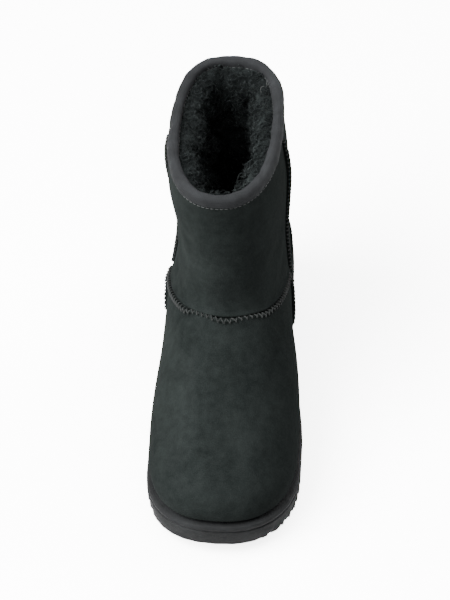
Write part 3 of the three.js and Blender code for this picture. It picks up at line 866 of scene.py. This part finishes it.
def straight_stitch(thread: float, length: float) -> Object:
    """Models one stitch of a row: a short thread that dips at both ends.

    Args:
        thread: Radius of the thread in millimetres.
        length: Length of the stitch in millimetres.

    Returns:
        The stitch round the origin, X along the row.
    """
    piece = Bench.primitive(bpy.ops.mesh.primitive_cylinder_add, vertices=6, radius=thread * MM, depth=length * MM,
                            rotation=(0, math.pi / 2, 0), end_fill_type="NGON")
    with Bench.editing(piece):
        for cut in (-length / 4, length / 4):
            bpy.ops.mesh.select_all(action="SELECT")
            bpy.ops.mesh.bisect(plane_co=(cut * MM, 0, 0), plane_no=(1, 0, 0))
    skin = Skin(piece)
    share = 2 * np.abs(skin.points[:, 0]) / length
    skin.points[:, 1:] *= (1 - 0.45 * share ** 3)[:, None]
    skin.points[:, 2] -= thread * 1.3 * share ** 2
    skin.write()
    return piece


@dataclass
class Seams:
    """Raised overlocked seams: over the vamp and down both sides of the shaft."""

    hide: Skin
    pitch: float = 1.65
    vamp_core: float = 0.8
    vamp_shift: float = 0.5  # of the stitches, down from the sewing line
    vamp_runs: tuple[LoopRun, ...] = (
        LoopRun(lean=2.3, width=2.9, height=1.1, thread=0.5, lift=0.05),
        LoopRun(lean=-1.2, width=2.7, height=0.8, thread=0.36),
    )
    side_core: float = 1.35
    side_runs: tuple[LoopRun, ...] = (
        LoopRun(lean=1.3, width=3.0, height=1.45, thread=0.42, lift=-0.25),
        LoopRun(lean=-1.3, width=3.0, height=1.3, thread=0.36, lift=-0.25),
    )
    # how far each side seam's ridge stands off the shaft, by height
    heights: tuple[float, ...] = (76, 92, 118, 150, 172, 181)
    side_rise: tuple[float, ...] = (0.6, 0.9, 0.7, 1.5, 1.7, 0.7)
    # and the vamp's seam where it runs down the outer and the inner side of the foot
    flange_heights: tuple[float, ...] = (30, 36, 44, 58, 66, 74)
    outer_flange: tuple[float, ...] = (0.3, 4.2, 5.0, 4.4, 2.6, 0.8)
    inner_flange: tuple[float, ...] = (0.0, 0.4, 0.6, 0.6, 0.4, 0.0)

    def build(self, thread: Material, dark_thread: Material, suede: Material) -> None:
        """Builds each seam as a padded ridge of hide with loops of thread over it."""
        for name, places in SEWING_LINES.items():
            line = Line(places, self.hide, self.pitch)
            x, _, z = line.points.T
            if name == "vamp_seam":
                across = -self.vamp_shift * Upper.shaft_side(line)
                rise = np.where(x < 0, np.interp(z, self.flange_heights, self.outer_flange),
                                np.interp(z, self.flange_heights, self.inner_flange))
                core, runs, yarn = self.vamp_core, self.vamp_runs, thread
            else:
                across, rise = 0.0, np.interp(z, self.heights, self.side_rise)
                core, runs, yarn = self.side_core, self.side_runs, dark_thread
            cords = [tube(name, line.shifted(across, 0.1) + (rise * share)[:, None] * line.normals,
                          core * (1 if share == 1 else 0.85), 3) for share in (1.0, 0.75, 0.5, 0.25)]
            self.sew(name, line, across, rise, runs, yarn)
            Bench.finish(join(name + "_ridge", cords), Slot.SUEDE, suede, name)

    @staticmethod
    def sew(name: str, line: Line, across: float, rise: np.ndarray, runs: tuple[LoopRun, ...],
            thread: Material) -> None:
        """Lays both runs of loops over a ridge, each on every other station.

        Args:
            name: The seam's name.
            line: Its line on the hide.
            across: How far the loops stand to the side of the line.
            rise: How far the ridge stands off the hide, at each station.
            runs: The two runs of loops.
            thread: Their material.
        """
        pieces = []
        for first, run in enumerate(runs):
            frames = line.frames(across, run.lift)
            frames[:, :, 3] += rise[:, None] * line.normals
            pieces.append(stamp(name + "_loops", run.loop(), frames[first::2]))
        Bench.finish(join(name + "_thread", pieces), Slot.THREAD, thread)


@dataclass
class HeelCounter:
    """Suede overlay round the heel with its two rows of stitches."""

    hide: Skin
    rows: tuple[float, ...] = (2.4, 5.2)  # below the top edge
    outer_level: float = 1.25
    inner_level: float = 0.1
    thread: float = 0.3
    stitch: float = 2.3
    pitch: float = 2.9

    def build(self, suede: Material, thread: Material) -> None:
        """Builds the overlay and sews it down."""
        piece = Bench.copy_node("heel_counter", "heel_counter_suede")
        Bench.modify(piece, "BEVEL", width=0.4 * MM, segments=2, limit_method="ANGLE", angle_limit=math.radians(50))
        Bench.modify(piece, "SUBSURF", levels=1, render_levels=1, subdivision_type="CATMULL_CLARK")
        skin = Skin(piece)
        self.seat(skin)
        Bench.smooth(piece)
        Bench.finish(piece, Slot.SUEDE, suede, "heel_counter")
        frames = [Line(self.edge_line(drop), skin, self.pitch).frames(0, 0.12) for drop in self.rows]
        rows = stamp("heel_counter_stitches", straight_stitch(self.thread, self.stitch), np.concatenate(frames))
        Bench.finish(rows, Slot.THREAD, thread)

    def seat(self, skin: Skin) -> None:
        """Keeps the overlay's thickness over the creased hide."""
        for k, (point, normal) in enumerate(zip(skin.points, skin.normals)):
            place, out = self.hide.nearest(point)
            wanted = self.outer_level if np.dot(normal, out) > 0.3 else self.inner_level
            level = float(np.dot(point - place, out))
            if level < wanted:
                skin.points[k] = point + out * (wanted - level)
        skin.write()

    @staticmethod
    def edge_line(drop: float) -> list:
        """Line that follows the solid's top edge at a distance below it."""
        solid = Skin(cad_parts["heel_counter"])
        rough = []
        for angle in np.radians(np.linspace(-88, 88, 61)):
            way = np.array([math.sin(angle), math.cos(angle), 0])
            hits = (solid.cast(np.array([0, 52, height]) + way * 120, -way) for height in np.arange(80, 40, -0.5))
            top = next((hit for hit in hits if hit is not None), None)
            if top is not None:
                rough.append(top + way * 2 - np.array([0, 0, drop]))
        return rough


@dataclass
class Collar:
    """Tape folded over the top of the shaft, its stitch rows and its butt join."""

    hide: Skin
    join_at: float = math.radians(38)  # from the middle of the back towards the inner side
    waves: tuple = ((0.16, 9, 0.7), (0.12, 23, 2.1), (0.1, 41, 0.0))  # height, count round the collar, phase
    radius: float = 44.0  # mean radius of the ring
    run_radius: float = 48.0  # the same for the ribs of the weave
    half_axes: tuple[float, float] = (32.0, 58.0)  # of the ring's crest
    outer_row: float = 183.0  # height of the stitches outside
    inner_row: float = 186.4  # and inside
    thread: float = 0.24
    stitch: float = 2.2
    pitch: float = 2.75

    def build(self, tape: Material, thread: Material) -> None:
        """Builds the tape and its stitches."""
        piece = Bench.copy_node("collar_binding", "collar_tape")
        Bench.modify(piece, "SUBSURF", levels=2, render_levels=2)
        skin = Skin(piece)
        angle = self.bearing(skin.points)
        wave = sum(height * np.sin(angle * count + phase) for height, count, phase in self.waves)
        gap = np.abs((angle - self.join_at + math.pi) % FULL_TURN - math.pi) * self.radius
        skin.swell(wave + 0.75 * bell(gap, 2.0, 2.2) - 0.5 * bell(gap, 0, 0.5))
        skin.write()
        self.mark_run(piece)
        Bench.smooth(piece, 80)
        Bench.finish(piece, Slot.TAPE, tape, "collar_binding")
        self.sew(skin, thread)

    @staticmethod
    def bearing(points: np.ndarray) -> np.ndarray:
        """Direction of each point from the middle of the collar, from the back towards the inner side."""
        return np.arctan2(points[:, 0] - COLLAR_X, points[:, 1] - COLLAR_Y)

    def mark_run(self, piece: Object) -> None:
        """Writes the way along and across the tape, in millimetres, to each face corner."""
        mesh = piece.data
        points = column(mesh.vertices, "co") / MM
        corner = np.empty(len(mesh.loops), int)
        mesh.loops.foreach_get("vertex_index", corner)
        angle = self.bearing(points)[corner]
        for face in mesh.polygons:
            loops = slice(face.loop_start, face.loop_start + face.loop_total)
            part = angle[loops]
            if np.ptp(part) > math.pi:
                angle[loops] = np.where(part < 0, part + FULL_TURN, part)
        around = np.hypot(*((points[corner, :2] - (COLLAR_X, COLLAR_Y)) / self.half_axes).T)
        across = points[corner, 2] + np.where(around > 0.97, 2.0, -2.0)
        run = np.stack([angle * self.run_radius, across, np.zeros(len(corner))], 1)
        mesh.attributes.new("tape_run", "FLOAT_VECTOR", "CORNER").data.foreach_set("vector", run.ravel())

    @staticmethod
    def ring(skin: Skin, height: float, inward: bool) -> list:
        """Places round the collar at one height, from outside or from inside."""
        middle = np.array([COLLAR_X, COLLAR_Y, height])
        found = []
        for turn in np.linspace(0, FULL_TURN, 96, endpoint=False):
            way = np.array([math.sin(turn), math.cos(turn), 0])
            found.append(skin.cast(middle + way * FAR, -way) if inward else skin.cast(middle, way))
        return [place for place in found if place is not None]

    def sew(self, tape: Skin, thread: Material) -> None:
        """Sews a row along the tape's lower edge, outside and inside."""
        outer = Line(self.ring(self.hide, self.outer_row, True), self.hide, self.pitch, closed=True)
        inner = Line(self.ring(tape, self.inner_row, False), tape, self.pitch, closed=True)
        rows = stamp("row", straight_stitch(self.thread, self.stitch),
                     np.concatenate([outer.frames(0, 0.16), inner.frames(0, 0.1)]))
        Bench.finish(join("collar_stitches", [rows, self.ends()]), Slot.THREAD, thread)

    def ends(self) -> Object:
        """Loose thread ends at the tape's join."""
        base = (COLLAR_X + 33.5 * math.sin(self.join_at), COLLAR_Y + 50 * math.cos(self.join_at), 186.0)
        strands = [
            [(0, 0, 0), (1.2, 0.6, 1.4), (2.2, 0.2, 3.0), (1.8, -1.2, 4.4)],
            [(0, 1, 0.5), (0.4, 2.4, 1.8), (1.4, 3.4, 2.4)],
            [(-1.0, -1, 0.8), (-2.6, -2.2, 1.6), (-3.0, -3.8, 0.4), (-2.2, -5.0, -1.6)],
        ]
        return join("thread_ends", [tube("end", spline(np.array(s) + base, 0.5), 0.17, 1) for s in strands])


@dataclass
class Lining:
    """Fleece inside the shaft: a lumpy pile and curly locks that grow from it."""

    side_pile: float = 11.0
    back_pile: float = 8.0
    front_pile: float = 5.0
    base: float = 1.5  # pile at the rim
    low_share: float = 0.45  # by how much the pile is shorter down at the foot
    lump: float = 3.4
    tufts: int = 6000
    tuft_reach: float = 7.5
    rim: float = 6.5  # height over which the pile grows from the rim down
    crown: float = 4.0
    crown_depth: float = 12.0
    locks: int = 1500
    lock_floor: float = 82.0
    lock_split: float = 152.0
    lock_front: float = -16.0
    seed: int = 11

    def shell(self) -> Object:
        """Takes the inner face of the upper's wall."""
        piece = Bench.copy_node("upper", "fleece_pile")
        with Bench.editing(piece, Upper.outer_mask(Skin(piece))):
            bpy.ops.mesh.delete(type="VERT")
        Bench.modify(piece, "SUBSURF", levels=2, render_levels=2)
        return piece

    def tuft_heights(self, skin: Skin) -> np.ndarray:
        """Height of the tuft at each point, from seeds strewn near the skin."""
        rng = np.random.default_rng(self.seed)
        strewn = rng.uniform(skin.points.min(0), skin.points.max(0), (self.tufts, 3))
        seeds = np.array([p for p in strewn if np.linalg.norm(skin.nearest(p)[0] - p) < 3.0])
        size = rng.uniform(0.5, 1.0, len(seeds))
        out = []
        for part in np.array_split(skin.points, len(skin.points) // 2000 + 1):
            gap = ((part[:, None] - seeds[None]) ** 2).sum(2)
            out.append(size[gap.argmin(1)] * ramp(np.sqrt(gap.min(1)), self.tuft_reach, 0) ** 0.7)
        return np.concatenate(out)

    def raise_pile(self, piece: Object) -> Skin:
        """Moves the shell inwards by the pile, in tufts."""
        skin = Skin(piece)
        tuft = self.tuft_heights(skin)
        _, y, z = skin.points.T
        below = np.maximum(self.rim_height(Collar.bearing(skin.points), z) - z - 0.3, 0)
        grown = np.sqrt(ramp(below, 0, self.rim))
        back = ramp(y, 84, 102)
        front = ramp(y, 16, 0) * (z > 100)
        pile = self.side_pile * (1 - back) * (1 - front) + self.back_pile * back + self.front_pile * front
        pile *= 1 - self.low_share * ramp(z, 112, 72)
        skin.swell((pile + self.lump * (tuft - 0.45) * 2.0) * grown + self.base)
        skin.points[:, 2] += self.crown * grown * ramp(below, self.crown_depth, 0)
        skin.write()
        return skin

    @staticmethod
    def rim_height(turn: np.ndarray, z: np.ndarray, parts: int = 48) -> np.ndarray:
        """Height of the pile's top edge in the direction of each point.

        Args:
            turn: Direction of each point round the collar.
            z: Height of each point.
            parts: How finely the edge is read.

        Returns:
            The edge's height, point by point.
        """
        part = ((turn + math.pi) / FULL_TURN * parts).astype(int) % parts
        top = np.array([z[part == k].max() for k in range(parts)])
        middles = (np.arange(parts) + 0.5) / parts * FULL_TURN - math.pi
        return np.interp(turn, middles, top, period=FULL_TURN)

    @staticmethod
    def curl() -> Object:
        """Models one lock: a thin ring of wool spun into an open coil with a tapered tip."""
        sides = 4
        lock = Bench.primitive(bpy.ops.mesh.primitive_circle_add, vertices=sides, radius=0.42 * MM, location=(1.9 * MM, 0, 0),
                               rotation=(math.pi / 2, 0, 0))
        with Bench.editing(lock):
            bpy.ops.mesh.spin(steps=14, angle=math.radians(430), center=(0, 0, 0), axis=(0, 0, 1), dupli=False)
        skin = Skin(lock)
        rings = skin.points.reshape(-1, sides, 3)
        share = np.repeat(np.linspace(0, 1, len(rings)), sides)
        centre = np.repeat(rings.mean(1), sides, axis=0)
        ring = (skin.points - centre) * (1 - 0.75 * share[:, None] ** 2)
        centre[:, :2] *= (1 - 0.3 * share)[:, None]
        centre[:, 2] = share * 4.2 - 1.0
        skin.points = centre + ring
        skin.write()
        return lock

    def grow(self, skin: Skin, low: float, high: float) -> np.ndarray:
        """Places for locks on the pile, leaning and turned at random from one seed.

        Args:
            skin: The pile's surface.
            low: Height above which they grow.
            high: Height up to which they grow.

        Returns:
            Placing matrices.
        """
        rng = np.random.default_rng(self.seed + 1)
        faces = skin.piece.data.polygons
        centres, normals = column(faces, "center") / MM, column(faces, "normal")
        chosen = (centres[:, 2] > low) & (centres[:, 2] <= high) & (centres[:, 1] > self.lock_front)
        weight = column(faces, "area", 1)[:, 0] * chosen
        out = np.zeros((self.locks, 3, 4))
        for k, pick in enumerate(rng.choice(len(faces), self.locks, p=weight / weight.sum())):
            up = normals[pick] + rng.normal(0, 0.45, 3)
            turn = Matrix.Rotation(rng.uniform(0, FULL_TURN), 3, "Z")
            stand = Vector(up).to_track_quat("Z", "X").to_matrix() @ turn
            size = rng.uniform(0.75, 1.45)
            stretch = Matrix.Diagonal((size, size * rng.uniform(0.7, 1.1), size * rng.uniform(0.5, 1.0)))
            out[k, :, :3] = np.array(stand @ stretch)
            out[k, :, 3] = centres[pick] + rng.normal(0, 0.6, 3)
        return out

    def build(self, fleece: Material) -> None:
        """Builds the pile and its locks."""
        piece = self.shell()
        skin = self.raise_pile(piece)
        Bench.smooth(piece, 80)
        Bench.finish(piece, Slot.FLEECE, fleece)
        for name, low, high in (("fleece_locks", self.lock_split, math.inf),
                                ("fleece_locks_low", self.lock_floor, self.lock_split)):
            Bench.finish(stamp(name, self.curl(), self.grow(skin, low, high)), Slot.FLEECE, fleece)


class Footbed:
    """Fleece-covered insole."""

    tuft: float = 0.6

    def build(self, fleece: Material) -> None:
        """Builds the footbed with a tufted top."""
        piece = Bench.copy_node("insole", "insole_fleece")
        with Bench.editing(piece):
            bpy.ops.mesh.subdivide(number_cuts=3)
        skin = Skin(piece)
        x, y, _ = skin.points.T
        tufts = np.sin(x * 0.9 + 1.3 * np.sin(y * 0.5)) * np.sin(y * 0.8 + 1.1 * np.sin(x * 0.6))
        skin.points[:, 2] += np.where(skin.normals[:, 2] > 0.5, self.tuft * tufts, 0)
        skin.write()
        Bench.smooth(piece)
        Bench.finish(piece, Slot.FLEECE, fleece, "insole")


@dataclass
class Sole:
    """Moulded foam sole with its lip, step line, waved grooves and scalloped lower edge."""

    bevel: float = 0.5
    middle_x: float = -2.0
    straight: float = 68.0  # the sides run straight from here to here, forward and back
    toe_radius: float = 46.0
    pitch: float = 6.7
    bite: float = 1.9
    bite_top: float = 11.0
    fade: float = 5.0  # height over which the bites fade out, and how far in from the side they reach
    core: float = 30.0  # half width that they leave whole
    # share of the full bite by the way forward, on the inner and on the outer side
    inner_bites: tuple = ((-90, -40, 40, 70, 112, 126), (0.3, 0.45, 0.5, 1.0, 1.0, 0.0))
    outer_bites: tuple = ((-90, -40, 40, 62, 96, 106), (0.3, 0.3, 0.4, 0.55, 0.45, 0.0))

    def build(self, foam: Material) -> None:
        """Builds the sole from its solid, with softened edges and a scalloped lower edge."""
        piece = Bench.copy_node("sole", "sole_foam")
        Bench.modify(piece, "BEVEL", width=self.bevel * MM, segments=2, limit_method="ANGLE",
                     angle_limit=math.radians(22), use_clamp_overlap=True)
        Bench.modify(piece, "SUBSURF", levels=1, render_levels=1, subdivision_type="SIMPLE")
        self.scallop(Skin(piece))
        Bench.smooth(piece, 42)
        Bench.finish(piece, Slot.FOAM, foam, "sole")

    def scallop(self, skin: Skin) -> None:
        """Bites into the lower edge in waves, deepest at the inner front, with the toe left whole."""
        x, y, z = skin.points.T
        centre = np.clip(y, -self.straight, self.straight)
        out = np.stack([x - self.middle_x, y - centre], 1)
        reach = np.hypot(out[:, 0], out[:, 1])
        out /= np.maximum(reach, 1e-6)[:, None]
        turn = np.arctan2(centre - y, np.abs(out[:, 0]) * reach)
        front = np.where(y < -self.straight, self.straight + self.toe_radius * turn, -y)
        wave = np.clip(0.35 + np.cos(FULL_TURN * front / self.pitch), 0, None) / 1.35
        share = np.where(x > self.middle_x, np.interp(front, *self.inner_bites), np.interp(front, *self.outer_bites))
        share *= ramp(z, self.bite_top, self.bite_top - self.fade) * ramp(reach, self.core, self.core + self.fade)
        skin.points[:, :2] -= out * (self.bite * wave * share)[:, None]
        skin.write()


# ---------------------------------------------------------------- the studio


@dataclass(frozen=True)
class PhotoView:
    """The photograph's view of the boot, turned the least that brings the one boot to the middle."""

    azimuth: float = 4.0
    elevation: float = 49.0
    distance: float = 1500.0
    lens: float = 148.5
    sensor: float = 36.0
    width: int = 450
    height: int = 600
    anchor: tuple[float, float, float] = (0.0, -20.0, 60.0)
    anchor_pixel: tuple[float, float] = (156.0, 364.0)
    middle_pixel: tuple[float, float] = (153.1, 300.4)

    def slope(self, pixel: tuple[float, float]) -> tuple[float, float]:
        """How far right and up a pixel lies, per unit of distance."""
        per_lens = self.lens / self.sensor * self.height
        return (pixel[0] - self.width / 2) / per_lens, (self.height / 2 - pixel[1]) / per_lens

    def build(self) -> None:
        """Builds the camera."""
        turn, tilt = math.radians(self.azimuth), math.radians(self.elevation)
        back = Vector((math.sin(turn) * math.cos(tilt), -math.cos(turn) * math.cos(tilt), math.sin(tilt)))
        right = Vector((math.cos(turn), math.sin(turn), 0))
        up = back.cross(right)
        across, rise = self.slope(self.anchor_pixel)
        place = (Vector(self.anchor) + (back - right * across - up * rise) * self.distance) * MM
        across, rise = self.slope(self.middle_pixel)
        aim = (-back + right * across + up * rise).normalized()
        stand = (-back).rotation_difference(aim).to_matrix() @ Matrix((right, up, back)).transposed()
        data = bpy.data.cameras.new("photo_camera")
        data.lens = self.lens
        data.sensor_width = self.sensor
        data.clip_end = 20
        camera = add_object("photo_camera", data)
        camera.matrix_world = Matrix.Translation(place) @ stand.to_4x4()
        bpy.context.scene.camera = camera


@dataclass(frozen=True)
class Softbox:
    """One soft studio light: place and aim in metres, size and power."""

    name: str
    place: tuple[float, float, float]
    size: float
    power: float
    aim: tuple[float, float, float] = (0.0, 0.0, 0.06)

    def build(self) -> None:
        """Hangs the light."""
        data = bpy.data.lights.new(self.name, "AREA")
        data.shape = "DISK"
        data.size = self.size
        data.energy = self.power
        way = Vector(self.aim) - Vector(self.place)
        stand = way.to_track_quat("-Z", "Y").to_matrix().to_4x4()
        add_object(self.name, data).matrix_world = Matrix.Translation(self.place) @ stand


class Studio:
    """Pale paper floor, white surround and soft light."""

    ambient = 0.5
    backdrop = 8.0  # what the camera sees of the surround
    bounce = 0.5  # floor's share of light thrown back onto the boot
    glow = 4.5  # keeps the paper white for the camera, round the shadow
    paper = ((0.93, 0.93, 0.93, 1), (0.96, 0.96, 0.96, 1))
    lights = (
        Softbox("key", (-1.0, -0.45, 1.45), 1.4, 235),
        Softbox("top", (-0.1, 0.0, 1.9), 2.0, 120),
        Softbox("front", (-0.6, -1.8, 0.75), 1.8, 50),
        Softbox("back", (1.5, 1.1, 0.9), 1.6, 90),
    )

    def build(self) -> None:
        """Builds the stage."""
        floor = Bench.primitive(bpy.ops.mesh.primitive_plane_add, size=30, location=(0, 0, 0))
        floor.name = "floor"
        material = bpy.data.materials.new("studio_paper")
        material.use_nodes = True
        tree = Tree(material.node_tree)
        paper = tree.mix(tree.noise(tree.add("TexCoord").outputs["Object"], 3, 2), *self.paper)
        seen = tree.add("LightPath").outputs["Is Camera Ray"]
        tree.feed(material.node_tree.nodes["Principled BSDF"], {
            "Base Color": tree.mix(seen, (self.bounce, self.bounce, self.bounce, 1), paper),
            "Emission Strength": tree.range(seen, 0, 1, 0, self.glow),
            "Roughness": 0.9, "Specular IOR Level": 0.1, "Emission Color": (1, 1, 1, 1)})
        floor.data.materials.append(material)
        world = bpy.data.worlds.new("studio")
        world.use_nodes = True
        tree = Tree(world.node_tree)
        seen = tree.add("LightPath").outputs["Is Camera Ray"]
        tree.feed(world.node_tree.nodes["Background"], {
            "Color": (1, 1, 1, 1), "Strength": tree.range(seen, 0, 1, self.ambient, self.backdrop)})
        bpy.context.scene.world = world
        for light in self.lights:
            light.build()


def main() -> None:
    """Builds the studio, then the boot from the ground up."""
    logging.basicConfig(level=logging.INFO, format="%(name)s: %(message)s")
    PhotoView().build()
    Studio().build()
    shop = Workshop()
    suede = SuedeFinish().build(shop)
    tape = TapeFinish().build(shop)
    thread = ThreadFinish().build(shop)
    dark_thread = ThreadFinish("side_seam_thread", (5, 5.6, 5.6), (22, 23.5, 23)).build(shop)
    pale_thread = ThreadFinish("collar_thread", (22, 23, 23), (58, 60, 59)).build(shop)
    fleece = FleeceFinish().build(shop)
    foam = FoamFinish().build(shop)
    Sole().build(foam)
    Footbed().build(fleece)
    hide = Upper().build(suede)
    HeelCounter(hide).build(suede, thread)
    Seams(hide).build(thread, dark_thread, suede)
    Collar(hide).build(tape, pale_thread)
    Lining().build(fleece)


if __name__ == "__main__":
    main()
